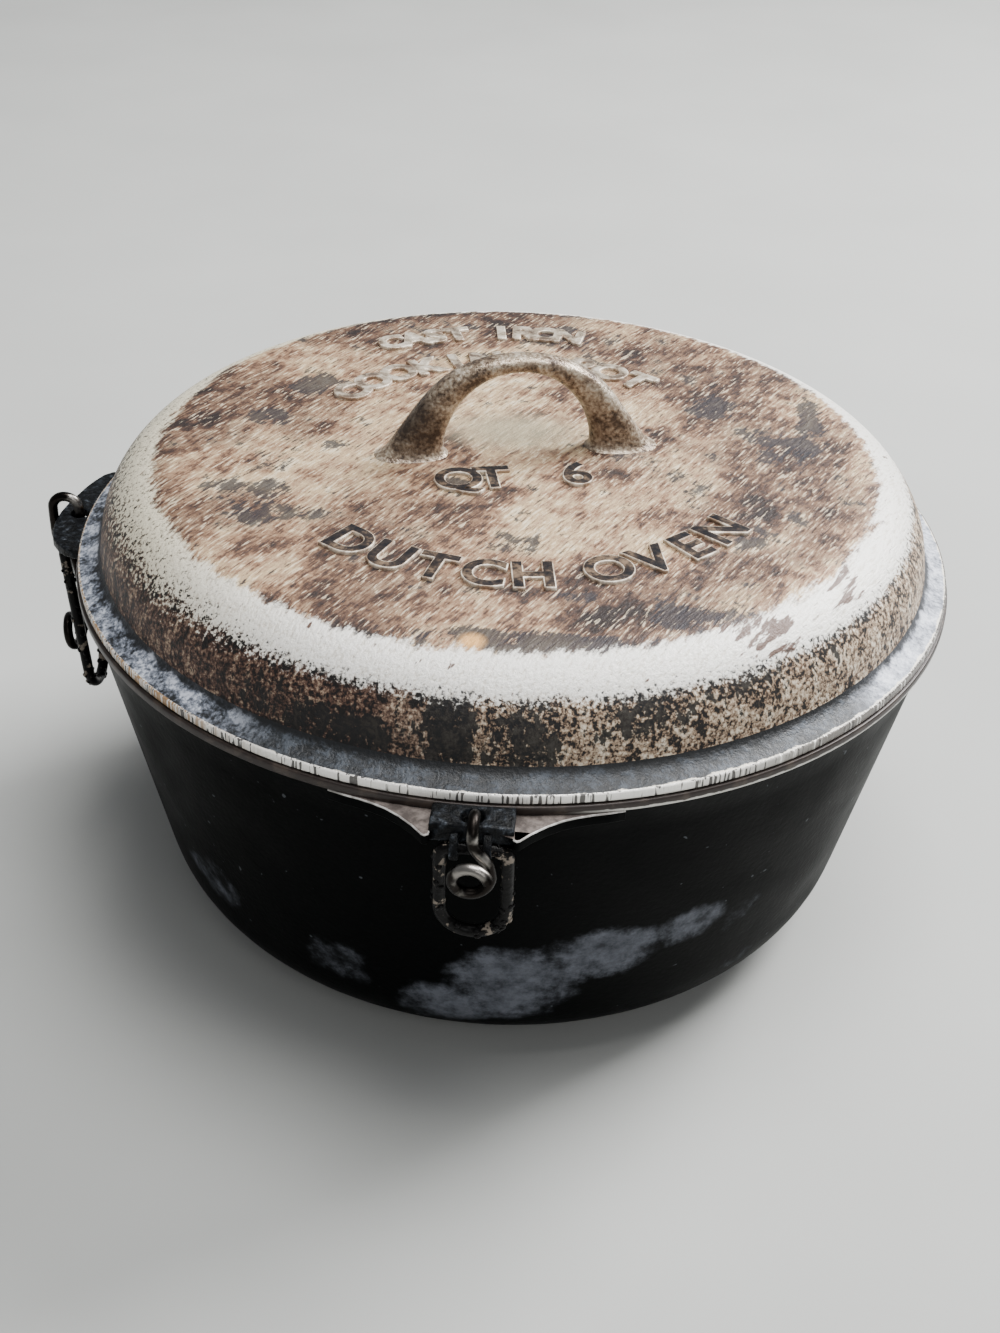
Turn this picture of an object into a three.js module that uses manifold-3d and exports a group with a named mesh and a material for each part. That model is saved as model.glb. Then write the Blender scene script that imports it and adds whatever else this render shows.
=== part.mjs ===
// Cast iron dutch oven: a straight-tapered pot, a domed lid with a cast loop handle, three cast
// ears, and on each ear a bent wire hook and a hanging oval loop.
// Millimetres, +Z up. The origin is the middle of the base, on the surface the pot stands on.
// The front ear points along -Y, the left ear along -X and the back ear along +Y.
import * as THREE from 'three';
import { mergeVertices } from 'three/addons/utils/BufferGeometryUtils.js';
import Module from 'manifold-3d';

// ---- driving dimensions ----
const RIM_R = 142.3; // outer radius of the pot's rim
const RIM_Z = 122.0; // top face of the rim
const RIM_THICK = 2.8;
const WALL_TOP_R = 139.6; // outside of the wall just under the rim
const WALL_LOW_R = 120.5; // outside of the wall where the bottom corner starts
const WALL_LOW_Z = 26.0;
const WALL = 4.2; // wall thickness
const FLOOR = 5.0; // floor thickness
const CORNER_R = 33.0; // bottom corner
const BASE_R = 88.0; // flat the pot stands on

const LID_GAP = 0.35; // between rim and lid
const LID_R = 141.5;
const LID_FLANGE = 2.9; // thickness of the lid's flat edge
const LID_WALL_R = 134.0; // foot of the lid's side wall
const LID_WALL_Z = 129.4;
const LID_LEAN = 9.5; // degrees the side wall leans in
const SHOULDER_R = 24.0;
const SHOULDER_MID_R = 109.43;
const SHOULDER_MID_Z = 130.8;
const LID_CROWN = 1.4; // rise of the top toward the middle
const LID_WALL = 3.8;
const RING_DEPTH = 5.5; // locating ring below the lid's edge

const GRIP_YAW = 13.0; // turn of the grip about the vertical, degrees
const GRIP_HALF = 44.0;
const GRIP_HEIGHT = 33.0;
const GRIP_DEPTH = 8.4;
const GRIP_HOLE_HALF = 24.0;
const GRIP_HOLE_HEIGHT = 27.6;

const LUG_TOP_Z = RIM_Z;
const BLOCK_R = 150.6; // outer face of the block in the middle of a flared lug
const HOLE_R = 146.2; // radius of the upright hook hole
const HOLE_D = 6.4;
const HINGE_R = 150.2; // axis the oval loop turns on
const HINGE_Z = RIM_Z - 8.2;
const BORE_D = 4.7;
const KNUCKLE_R = 3.6;
const KNUCKLE_IN = 3.3;
const KNUCKLE_OUT = 5.7;

const LOOP_BAR = 3.8;
const LOOP_HALF = 11.2; // half the outer width
const LOOP_SHIFT = 0.8; // sideways rest position of the loop
const LOOP_LEAN = 4.3; // degrees the loop leans toward the wall
const WIRE_D = 3.4;
const HOOK_TOP_R = 4.5;
const ARCH_Z_LONG = 1.6; // height of the middle of the hook's arch above the rim
const ARCH_Z_SHORT = -2.2; // a short hook sits low over the block
const COIL_MID = 0.8; // sideways place of the coiled eye
const COIL_R = 5.1; // to the middle of the wire
const COIL_PITCH = 4.8;

// per ear: direction in degrees from -Y, outline of the lug, loop height, drop of the coil below the rim
const EARS = [
  { name: 'front', turn: 0, edge: 'flared', loop: 35.3, coil: 13.0 },
  { name: 'left', turn: -90, edge: 'rounded', loop: 62.2, coil: 47.5 },
  { name: 'back', turn: 180, edge: 'flared', loop: 35.3, coil: 13.0 },
];

// ---- helpers ----
const wasm = await Module();
wasm.setup();
const deg = (a) => THREE.MathUtils.degToRad(a);

function volume(geometry) {
  const p = geometry.attributes.position;
  const index = geometry.index;
  const a = new THREE.Vector3();
  const b = new THREE.Vector3();
  const c = new THREE.Vector3();
  let sum = 0;
  for (let i = 0; i < index.count; i += 3) {
    a.fromBufferAttribute(p, index.getX(i));
    b.fromBufferAttribute(p, index.getX(i + 1));
    c.fromBufferAttribute(p, index.getX(i + 2));
    sum += a.dot(b.cross(c)) / 6;
  }
  return sum;
}

// joins shared corners, drops zero-size triangles and turns the faces outward
function clean(geometry) {
  const bare = geometry.clone();
  bare.deleteAttribute('normal');
  bare.deleteAttribute('uv');
  const merged = mergeVertices(bare, 1e-4);
  const from = merged.index.array;
  const keep = [];
  for (let i = 0; i < from.length; i += 3) {
    const [a, b, c] = [from[i], from[i + 1], from[i + 2]];
    if (a !== b && b !== c && c !== a) {
      keep.push(a, b, c);
    }
  }
  merged.setIndex(keep);
  if (volume(merged) < 0) {
    for (let i = 0; i < keep.length; i += 3) {
      [keep[i], keep[i + 1]] = [keep[i + 1], keep[i]];
    }
    merged.setIndex(keep);
  }
  return merged;
}

function solid(geometry) {
  const g = clean(geometry);
  const mesh = new wasm.Mesh({
    numProp: 3,
    vertProperties: new Float32Array(g.attributes.position.array),
    triVerts: new Uint32Array(g.index.array),
  });
  return new wasm.Manifold(mesh);
}

function toGeometry(body) {
  const mesh = body.getMesh();
  const g = new THREE.BufferGeometry();
  g.setAttribute('position', new THREE.BufferAttribute(new Float32Array(mesh.vertProperties), 3));
  g.setIndex(new THREE.BufferAttribute(new Uint32Array(mesh.triVerts), 1));
  return g;
}

function revolve(profile, segments) {
  const points = profile.map(([r, z]) => new THREE.Vector2(r, z));
  const g = new THREE.LatheGeometry(points, segments);
  g.rotateX(Math.PI / 2);
  return g;
}

function arc(cx, cz, radius, from, to, steps) {
  const points = [];
  for (let i = 0; i <= steps; i += 1) {
    const a = deg(from + ((to - from) * i) / steps);
    points.push([cx + radius * Math.cos(a), cz + radius * Math.sin(a)]);
  }
  return points;
}

// ---- pot ----
function potProfile() {
  const slope = (WALL_TOP_R - WALL_LOW_R) / (RIM_Z - 5 - WALL_LOW_Z);
  const lean = THREE.MathUtils.radToDeg(Math.atan(slope));
  const midR = WALL_LOW_R - CORNER_R * Math.cos(deg(lean));
  const midZ = CORNER_R;
  const outer = arc(midR, midZ, CORNER_R, -90, -lean, 7);
  const inR = CORNER_R - WALL;
  const inner = arc(midR, FLOOR + inR, inR, -lean, -90, 6);
  const inTop = WALL_TOP_R - WALL + slope * 5;
  return [
    [0, 0],
    ...outer,
    [WALL_TOP_R, RIM_Z - 5],
    [WALL_TOP_R + 1.3, RIM_Z - RIM_THICK - 0.9],
    [RIM_R, RIM_Z - RIM_THICK],
    [RIM_R, RIM_Z - 0.4],
    [RIM_R - 0.4, RIM_Z],
    [inTop + 0.5, RIM_Z],
    [inTop, RIM_Z - 0.5],
    ...inner,
    [0, FLOOR],
  ];
}

// a lug seen from above: sideways place against distance from the pot's axis, from right to left
const FLARED_HALF = [
  [41.0, 132.0],
  [40.6, 136.3],
  [36.0, 138.0],
  [32.0, 139.2],
  [28.0, 140.7],
  [24.0, 142.6],
  [20.0, 145.4],
  [16.0, 149.0],
  [13.2, 152.2],
  [12.3, 152.7],
  [11.2, 152.0],
  [11.0, 149.0],
];
const LUGS = {
  flared: {
    top: RIM_Z - 2.8,
    thick: 3.6,
    block: true,
    edge: [
      ...FLARED_HALF,
      ...[...FLARED_HALF].reverse().map(([t, r]) => [-t, r]),
      // back inside the wall, along its curve
      ...[-30, -20, -10, 0, 10, 20, 30].map((t) => [t, Math.sqrt(138 ** 2 - t ** 2)]),
    ],
  },
  rounded: {
    top: RIM_Z,
    thick: 3.6,
    block: false,
    edge: [
      [24.9, 136.7],
      [24.6, 142.3],
      [23.4, 145.4],
      [21.2, 148.0],
      [17.6, 150.6],
      [12.5, 152.3],
      [6.0, 153.0],
      [0.0, 153.0],
      [-8.0, 151.8],
      [-12.5, 150.6],
      [-18.0, 149.3],
      [-23.0, 147.6],
      [-27.4, 145.6],
      [-30.0, 143.0],
      [-31.0, 136.7],
    ],
  },
};

// a flat plate with bevelled edges, from an outline seen from above
function plate(outline, low, high) {
  const shape = new THREE.Shape(outline.map(([t, r]) => new THREE.Vector2(t, -r)));
  const g = new THREE.ExtrudeGeometry(shape, {
    depth: high - low - 0.8,
    bevelThickness: 0.4,
    bevelSize: 0.4,
    bevelOffset: -0.4,
    bevelSegments: 1,
  });
  g.translate(0, 0, low + 0.4);
  return solid(g);
}

function lug({ top, thick, block, edge }) {
  let body = plate(edge, top - thick, top);
  if (block) {
    const outline = [[11.4, 138], [11.4, BLOCK_R], [-11.4, BLOCK_R], [-11.4, 138]];
    body = body.add(plate(outline, top - thick, RIM_Z - 0.2));
  }
  for (const side of [-1, 1]) {
    body = body.add(knuckle(side));
  }
  const hole = new THREE.CylinderGeometry(HOLE_D / 2, HOLE_D / 2, 30, 20);
  hole.rotateX(Math.PI / 2);
  hole.translate(0, -HOLE_R, LUG_TOP_Z);
  const bore = new THREE.CylinderGeometry(BORE_D / 2, BORE_D / 2, 20, 16);
  bore.rotateZ(Math.PI / 2);
  bore.translate(0, -HINGE_R, HINGE_Z);
  return body.subtract(solid(hole)).subtract(solid(bore));
}

function knuckle(side) {
  const shape = new THREE.Shape();
  shape.moveTo(-HINGE_R - KNUCKLE_R, HINGE_Z);
  shape.absarc(-HINGE_R, HINGE_Z, KNUCKLE_R, Math.PI, 2 * Math.PI, false);
  shape.lineTo(-HINGE_R + KNUCKLE_R, LUG_TOP_Z - 3);
  shape.lineTo(-HINGE_R - KNUCKLE_R + 2.2, LUG_TOP_Z - 3);
  const g = new THREE.ExtrudeGeometry(shape, {
    depth: KNUCKLE_OUT - KNUCKLE_IN,
    bevelEnabled: false,
    curveSegments: 8,
  });
  // shape x is the pot's y, shape y is up, and the extrusion runs along x
  g.rotateX(Math.PI / 2);
  g.rotateZ(Math.PI / 2);
  g.translate(side > 0 ? KNUCKLE_IN : -KNUCKLE_OUT, 0, 0);
  return solid(g);
}

function pot() {
  let body = solid(revolve(potProfile(), 88));
  for (const ear of EARS) {
    body = body.add(lug(LUGS[ear.edge]).rotate([0, 0, ear.turn]));
  }
  return toGeometry(body);
}

// ---- lid ----
function lidProfile() {
  const seat = RIM_Z + LID_GAP;
  const outer = arc(SHOULDER_MID_R, SHOULDER_MID_Z, SHOULDER_R, LID_LEAN, 90, 9);
  const under = arc(SHOULDER_MID_R, SHOULDER_MID_Z, SHOULDER_R - LID_WALL, 90, LID_LEAN, 7);
  const topZ = SHOULDER_MID_Z + SHOULDER_R;
  const crown = [0.75, 0.5, 0.25, 0].map((f) => [SHOULDER_MID_R * f, topZ + LID_CROWN * (1 - f * f)]);
  const below = [...crown].reverse().map(([r, z]) => [r, z - LID_WALL]);
  return [
    ...below,
    ...under,
    [LID_WALL_R - LID_WALL, LID_WALL_Z - 1],
    [LID_WALL_R - LID_WALL - 0.5, seat - RING_DEPTH + 0.6],
    [LID_WALL_R - LID_WALL, seat - RING_DEPTH],
    [LID_WALL_R - LID_WALL + 2.6, seat - RING_DEPTH],
    [LID_WALL_R - LID_WALL + 3.2, seat - RING_DEPTH + 0.8],
    [LID_WALL_R - LID_WALL + 3.2, seat],
    [LID_R - 0.3, seat],
    [LID_R, seat + 0.3],
    [LID_R, seat + LID_FLANGE - 0.4],
    [LID_R - 0.5, seat + LID_FLANGE],
    [LID_R - 3.4, seat + LID_FLANGE + 0.9],
    [LID_R - 6.0, seat + LID_FLANGE + 2.4],
    [LID_WALL_R, LID_WALL_Z],
    ...outer,
    ...crown,
  ];
}

function grip() {
  const side = [
    [GRIP_HALF, 0],
    [40.4, 5.0],
    [36.6, 10.4],
    [32.8, 15.8],
    [28.6, 21.0],
    [23.4, 25.8],
    [16.8, 29.6],
    [8.8, 32.2],
  ];
  const top = LID_CROWN + SHOULDER_MID_Z + SHOULDER_R;
  const right = side.map(([x, y]) => new THREE.Vector2(x, y));
  const left = [...side].reverse().map(([x, y]) => new THREE.Vector2(-x, y));
  const foot = -2.4;
  const hole = [];
  for (let i = 0; i <= 16; i += 1) {
    const a = Math.PI - (Math.PI * i) / 16;
    hole.push(new THREE.Vector2(GRIP_HOLE_HALF * Math.cos(a), GRIP_HOLE_HEIGHT * Math.sin(a)));
  }
  const outline = [
    new THREE.Vector2(GRIP_HALF, foot),
    ...right,
    new THREE.Vector2(0, GRIP_HEIGHT),
    ...left,
    new THREE.Vector2(-GRIP_HALF, foot),
    new THREE.Vector2(-GRIP_HOLE_HALF, foot),
    ...hole,
    new THREE.Vector2(GRIP_HOLE_HALF, foot),
  ];
  const g = new THREE.ExtrudeGeometry(new THREE.Shape(outline), {
    depth: GRIP_DEPTH - 4.0,
    bevelThickness: 2.0,
    bevelSize: 1.2,
    bevelOffset: -1.2,
    bevelSegments: 2,
  });
  g.translate(0, 0, 2.0 - GRIP_DEPTH / 2);
  g.rotateX(Math.PI / 2);
  g.rotateZ(deg(GRIP_YAW));
  g.translate(0, 0, top - 0.15);
  return solid(g);
}

function lid() {
  return toGeometry(solid(revolve(lidProfile(), 88)).add(grip()));
}

// ---- hardware hanging from one ear, drawn for the front ear ----
function oval(halfWidth, height, corner) {
  const path = new THREE.Path();
  const top = 0;
  path.moveTo(-halfWidth, top - corner);
  path.lineTo(-halfWidth, top - height + halfWidth);
  path.absarc(0, top - height + halfWidth, halfWidth, Math.PI, 2 * Math.PI, false);
  path.lineTo(halfWidth, top - corner);
  path.absarc(halfWidth - corner, top - corner, corner, 0, Math.PI / 2, false);
  path.absarc(corner - halfWidth, top - corner, corner, Math.PI / 2, Math.PI, false);
  return path.getPoints(9);
}

function loop(height) {
  const shape = new THREE.Shape(oval(LOOP_HALF, height, 5.2));
  const inner = oval(LOOP_HALF - LOOP_BAR, height - 2 * LOOP_BAR, 1.6).map((p) => {
    return new THREE.Vector2(p.x, p.y - LOOP_BAR);
  });
  shape.holes.push(new THREE.Path(inner.reverse()));
  const g = new THREE.ExtrudeGeometry(shape, {
    depth: LOOP_BAR - 2.2,
    bevelThickness: 1.1,
    bevelSize: 0.9,
    bevelOffset: -0.9,
    bevelSegments: 2,
    curveSegments: 8,
  });
  g.translate(0, LOOP_BAR / 2, 1.1 - LOOP_BAR / 2);
  g.rotateX(Math.PI / 2);
  g.rotateX(deg(LOOP_LEAN));
  g.translate(LOOP_SHIFT, -HINGE_R, HINGE_Z);
  return clean(g);
}

// points are (sideways, distance from the pot's axis, height below the rim)
function hookPoints(coilDrop) {
  const x = 0.7;
  const points = [[x, HOLE_R, -6.4], [x, HOLE_R, -3.6]];
  const archR = HOLE_R + HOOK_TOP_R;
  const long = coilDrop > 30;
  const archZ = long ? ARCH_Z_LONG : ARCH_Z_SHORT;
  for (let i = 0; i <= 8; i += 1) {
    const a = Math.PI - (Math.PI * i) / 8;
    points.push([x, archR + HOOK_TOP_R * Math.cos(a), archZ + HOOK_TOP_R * Math.sin(a)]);
  }
  // a short hook winds one way into its eye, and a long one the other way
  const start = long ? HOLE_R + 4.8 : HOLE_R + 9.5;
  if (long) {
    points.push([x, archR + HOOK_TOP_R, -6]);
    points.push([x - 0.2, archR + HOOK_TOP_R - 0.2, -9.5]);
    points.push([x - 0.9, archR + 2.7, -14]);
    points.push([x - 1.8, archR - 0.2, -19]);
    points.push([x - 3.2, archR - 0.8, -27]);
    points.push([COIL_MID - COIL_R, archR - 0.6, -35]);
    points.push([COIL_MID - COIL_R, archR, -41]);
  } else {
    points.push([x + 0.8, archR + HOOK_TOP_R + 0.3, -4.2]);
    points.push([x + 2.4, archR + HOOK_TOP_R + 0.4, -6.4]);
    points.push([x + 4.3, archR + HOOK_TOP_R + 0.4, -9]);
  }
  for (let turned = 0; turned <= 340; turned += 20) {
    const s = deg(long ? 180 + turned : -turned);
    const out = start + (turned / 360) * COIL_PITCH;
    points.push([COIL_MID + COIL_R * Math.cos(s), out, -coilDrop + COIL_R * Math.sin(s)]);
  }
  return points.map(([t, r, z]) => new THREE.Vector3(t, -r, RIM_Z + z));
}

function hook(coilDrop) {
  const path = new THREE.CatmullRomCurve3(hookPoints(coilDrop), false, 'centripetal');
  const ring = new THREE.Shape();
  ring.absarc(0, 0, WIRE_D / 2, 0, 2 * Math.PI, false);
  const g = new THREE.ExtrudeGeometry(ring, {
    steps: coilDrop > 30 ? 76 : 60,
    extrudePath: path,
    curveSegments: 5,
  });
  return clean(g);
}

// ---- assembly ----
const iron = (color, roughness) => new THREE.MeshStandardMaterial({ color, roughness, metalness: 0.6 });
const steel = new THREE.MeshStandardMaterial({ color: 0x9a9a94, roughness: 0.35, metalness: 1.0 });

const group = new THREE.Group();

function addPart(name, geometry, material, turn = 0) {
  geometry.computeVertexNormals();
  const mesh = new THREE.Mesh(geometry, material);
  mesh.name = name;
  mesh.rotation.z = deg(turn);
  group.add(mesh);
}

addPart('pot', pot(), iron(0x1d1f20, 0.5));
addPart('lid', lid(), iron(0x8a7460, 0.45));
for (const ear of EARS) {
  addPart(`${ear.name}_hook`, hook(ear.coil), steel, ear.turn);
  addPart(`${ear.name}_loop`, loop(ear.loop), iron(0x26231f, 0.6), ear.turn);
}

export default group;
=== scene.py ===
"""A cast iron dutch oven: pot, domed lid with raised lettering, and the wire hooks and oval loops on
its three ears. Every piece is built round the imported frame, in metres, with +Z up."""

import math

import bpy
import numpy as np
from mathutils import Matrix, Vector


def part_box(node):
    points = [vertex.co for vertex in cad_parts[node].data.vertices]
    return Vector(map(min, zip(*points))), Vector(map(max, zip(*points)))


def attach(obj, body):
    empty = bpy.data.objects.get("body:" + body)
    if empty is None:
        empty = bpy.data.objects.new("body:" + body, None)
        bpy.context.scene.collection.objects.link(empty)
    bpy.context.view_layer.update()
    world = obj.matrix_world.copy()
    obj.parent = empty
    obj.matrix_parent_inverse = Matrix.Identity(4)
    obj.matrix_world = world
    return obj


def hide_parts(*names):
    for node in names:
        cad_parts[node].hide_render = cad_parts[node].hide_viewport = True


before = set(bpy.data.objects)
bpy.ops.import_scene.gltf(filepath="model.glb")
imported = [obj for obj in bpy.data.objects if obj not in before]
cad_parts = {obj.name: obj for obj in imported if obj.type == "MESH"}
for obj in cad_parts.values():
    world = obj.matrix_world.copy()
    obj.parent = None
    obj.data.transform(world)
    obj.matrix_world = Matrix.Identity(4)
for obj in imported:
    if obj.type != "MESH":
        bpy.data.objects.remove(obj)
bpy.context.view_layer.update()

bl_info = {
    "name": "Dutch oven",
    "version": (1, 0, 0),
    "blender": (4, 5, 0),
    "location": "View3D > Sidebar > Dutch oven",
    "description": "Builds a cast iron dutch oven with a lid, ears, wire hooks and oval loops",
    "category": "Add Mesh",
}

MM = 0.001
RIM_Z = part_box("pot")[1].z / MM  # top of the pot's rim
EARS = {"front": 0.0, "left": -90.0, "back": 180.0}  # degrees from -Y
AROUND = 256  # faces round the pot and the lid

# ---------------------------------------------------------------- user settings


def size_prop(label, about, value):
    return bpy.props.FloatProperty(
        name=label, description=about, default=value * MM, unit="LENGTH", subtype="DISTANCE"
    )


def colour_prop(label, about, value):
    return bpy.props.FloatVectorProperty(
        name=label, description=about, default=hex_rgb(value), size=4, min=0, max=1, subtype="COLOR"
    )


def hex_rgb(code):
    """An sRGB hex colour as linear red, green, blue and alpha."""
    out = []
    for i in (0, 2, 4):
        v = int(code[i : i + 2], 16) / 255
        out.append(v / 12.92 if v <= 0.04045 else ((v + 0.055) / 1.055) ** 2.4)
    return (*out, 1.0)


class DutchOvenSizes(bpy.types.PropertyGroup):
    rim_radius: size_prop("Rim radius", "Outer radius of the pot's rim", 142.3)
    wall: size_prop("Wall", "Thickness of the pot's wall", 4.2)
    lid_radius: size_prop("Lid radius", "Outer radius of the lid's machined edge", 141.5)
    lid_wall: size_prop("Lid wall", "Thickness of the lid", 3.8)
    grip_height: size_prop("Grip height", "Height of the loop grip above the lid", 32.8)
    letter_height: size_prop("Letter height", "Height of the raised letters", 13.0)
    letter_relief: size_prop("Letter relief", "How far the letters stand out of the lid", 1.1)
    wire: size_prop("Wire", "Diameter of the hook wire", 3.4)
    loop_bar: size_prop("Loop bar", "Thickness of the oval loops", 3.8)


class DutchOvenColours(bpy.types.PropertyGroup):
    tan: colour_prop("Rust tan", "Dry light rust on the lid", "a98e72")
    brown: colour_prop("Rust brown", "Darker rust on the lid", "96755a")
    bare: colour_prop("Rubbed iron", "Bare iron on the lid's shoulder", "f6f3ec")
    black: colour_prop("Seasoning", "Baked-on black seasoning of the pot", "060707")
    ash: colour_prop("Ash", "Ashy haze low on the pot", "62656d")
    rim: colour_prop("Rim", "Dark brown machined rim of the pot", "2b2320")
    edge: colour_prop("Machined edge", "Bright machined edge of the lid", "fbf8f1")
    wire: colour_prop("Wire", "Rubbed steel of the hooks", "8d8984")
    loop: colour_prop("Loop iron", "Rough black iron of the loops", "0e0d0d")
    floor: colour_prop("Floor", "Plain pale floor", "aeafac")


def sizes():
    return bpy.context.scene.dutch_oven_sizes


def colours():
    return bpy.context.scene.dutch_oven_colours


# ---------------------------------------------------------------- mesh helpers


def new_object(name, verts, faces, materials, face_material=None, smooth=True):
    """A mesh object at the origin from points in millimetres."""
    mesh = bpy.data.meshes.new(name)
    mesh.from_pydata((np.asarray(verts, float) * MM).tolist(), [], faces)
    for material in materials:
        mesh.materials.append(material)
    if face_material is not None:
        mesh.polygons.foreach_set("material_index", face_material)
    mesh.polygons.foreach_set("use_smooth", [smooth] * len(mesh.polygons))
    mesh.validate()
    mesh.update()
    obj = bpy.data.objects.new(name, mesh)
    bpy.context.scene.collection.objects.link(obj)
    return obj


def merge(parts):
    """Several (points, faces, face materials) as one."""
    verts, faces, slots = [], [], []
    for points, polys, marks in parts:
        start = len(verts)
        verts.extend(points)
        faces.extend([[i + start for i in poly] for poly in polys])
        slots.extend(marks if not isinstance(marks, int) else [marks] * len(polys))
    return verts, faces, slots


def outward(verts, faces):
    """The same faces, turned so that the closed shape's volume is positive."""
    v = np.asarray(verts, float)
    total = 0.0
    for face in faces:
        for k in range(1, len(face) - 1):
            total += np.dot(v[face[0]], np.cross(v[face[k]], v[face[k + 1]]))
    return faces if total > 0 else [list(reversed(face)) for face in faces]


def lathe(profile, segments):
    """Turns (radius, height, slot) points about the Z axis. The first and last points are on the axis,
    and each point's slot marks the band up to the next point."""
    turn = np.linspace(0, 2 * math.pi, segments, endpoint=False)
    verts, rows = [], []
    for r, z, _ in profile:
        if r < 1e-6:
            rows.append([len(verts)] * segments)
            verts.append((0.0, 0.0, z))
        else:
            rows.append(list(range(len(verts), len(verts) + segments)))
            verts.extend((r * math.sin(a), -r * math.cos(a), z) for a in turn)
    faces, slots = [], []
    for i in range(len(profile) - 1):
        low, high = rows[i], rows[i + 1]
        for k in range(segments):
            n = (k + 1) % segments
            quad = [low[k], low[n], high[n], high[k]]
            face = [p for j, p in enumerate(quad) if p not in quad[:j]]
            faces.append(face)
            slots.append(profile[i][2])
    return verts, outward(verts, faces), slots


def arc(cx, cz, radius, start, end, steps, slot):
    points = []
    for a in np.linspace(math.radians(start), math.radians(end), steps + 1):
        points.append((cx + radius * math.cos(a), cz + radius * math.sin(a), slot))
    return points


def smooth_path(points, per_span):
    """A smooth path through the points (uniform Catmull-Rom)."""
    p = np.asarray(points, float)
    p = np.vstack([2 * p[0] - p[1], p, 2 * p[-1] - p[-2]])
    out = []
    for i in range(1, len(p) - 2):
        for t in np.linspace(0, 1, per_span, endpoint=False):
            a = 2 * p[i]
            b = p[i + 1] - p[i - 1]
            c = 2 * p[i - 1] - 5 * p[i] + 4 * p[i + 1] - p[i + 2]
            d = -p[i - 1] + 3 * p[i] - 3 * p[i + 1] + p[i + 2]
            out.append(0.5 * (a + b * t + c * t * t + d * t**3))
    out.append(p[-2])
    return np.array(out)


def turned(points, degrees):
    """Points drawn for the front ear, turned to another ear."""
    a = math.radians(degrees)
    p = np.asarray(points, float)
    x = p[:, 0] * math.cos(a) - p[:, 1] * math.sin(a)
    y = p[:, 0] * math.sin(a) + p[:, 1] * math.cos(a)
    return np.stack([x, y, p[:, 2]], 1)


def flat_solid(outlines, low, high, bevel, to_place):
    """A plate with holes between two heights, with bevelled edges, as points and faces."""
    curve = bpy.data.curves.new("plate", "CURVE")
    curve.dimensions = "2D"
    curve.fill_mode = "BOTH"
    curve.extrude = (high - low) / 2 - bevel
    curve.bevel_depth = bevel
    curve.bevel_resolution = 3
    curve.offset = -bevel
    for outline in outlines:
        spline = curve.splines.new("POLY")
        spline.points.add(len(outline) - 1)
        for point, (x, y) in zip(spline.points, outline):
            point.co = (x, y, 0, 1)
        spline.use_cyclic_u = True
    obj = bpy.data.objects.new("plate", curve)
    bpy.context.scene.collection.objects.link(obj)
    made = bpy.data.meshes.new_from_object(obj.evaluated_get(bpy.context.evaluated_depsgraph_get()))
    verts = [to_place(v.co.x, v.co.y, v.co.z + (high + low) / 2) for v in made.vertices]
    faces = [list(p.vertices) for p in made.polygons]
    bpy.data.objects.remove(obj)
    bpy.data.meshes.remove(made)
    bpy.data.curves.remove(curve)
    verts, faces = weld(verts, faces)
    return verts, outward(verts, faces)


def weld(verts, faces):
    """Joins points that lie together and drops faces that collapse."""
    index, kept, remap = {}, [], []
    for v in verts:
        key = tuple(round(c, 4) for c in v)
        if key not in index:
            index[key] = len(kept)
            kept.append(tuple(v))
        remap.append(index[key])
    out = []
    for face in faces:
        new = [remap[i] for i in face]
        new = [p for j, p in enumerate(new) if p not in new[:j]]
        if len(new) > 2:
            out.append(new)
    return kept, out


def circle(cx, cy, radius, steps):
    turn = np.linspace(0, 2 * math.pi, steps, endpoint=False)
    return [(cx + radius * math.cos(a), cy + radius * math.sin(a)) for a in turn]


# ---------------------------------------------------------------- materials

NOISE, RANGE, MATH, MIX = "ShaderNodeTexNoise", "ShaderNodeMapRange", "ShaderNodeMath", "ShaderNodeMix"
VECTOR, MAPPING, BUMP = "ShaderNodeVectorMath", "ShaderNodeMapping", "ShaderNodeBump"


def add(tree, kind, links=None, **settings):
    """Adds one node: its settings, and its input values or links by socket."""
    made = tree.nodes.new(kind)
    for key, value in settings.items():
        setattr(made, key, value)
    for key, value in (links or {}).items():
        if isinstance(key, int):
            socket = made.inputs[key]
        else:
            socket = next(s for s in made.inputs if s.enabled and s.name == key)
        if isinstance(value, bpy.types.Node):
            value = next(s for s in value.outputs if s.enabled)
        if isinstance(value, bpy.types.NodeSocket):
            tree.links.new(value, socket)
        else:
            socket.default_value = value
    return made


def shade(colour):
    """A colour for a socket: a hex code becomes linear, and anything else is left alone."""
    return hex_rgb(colour) if isinstance(colour, str) else colour


def noise(tree, place, millimetres, detail, rough=0.5):
    """Noise with features of about this size."""
    scale = 1 / (millimetres * MM)
    return add(tree, NOISE, {"Vector": place, "Scale": scale, "Detail": detail, "Roughness": rough})


def linear(tree, value, low, high, least=0.0, most=1.0, **settings):
    """A value between low and high, carried over to between least and most."""
    return add(tree, RANGE, {0: value, 1: low, 2: high, 3: least, 4: most}, **settings)


def soft(tree, value, low, high, most=1.0):
    """A share that eases in between low and high."""
    return linear(tree, value, low, high, 0.0, most, interpolation_type="SMOOTHSTEP")


def times(tree, a, b):
    return add(tree, MATH, {0: a, 1: b}, operation="MULTIPLY")


def times_plus(tree, a, b, c):
    """a times b, plus c."""
    return add(tree, MATH, {0: a, 1: b, 2: c}, operation="MULTIPLY_ADD")


def mix(tree, share, a, b, **settings):
    """Colour a, going over to colour b by a share."""
    links = {"Factor": share, "A": shade(a), "B": shade(b)}
    return add(tree, MIX, links, data_type="RGBA", **settings)


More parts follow.
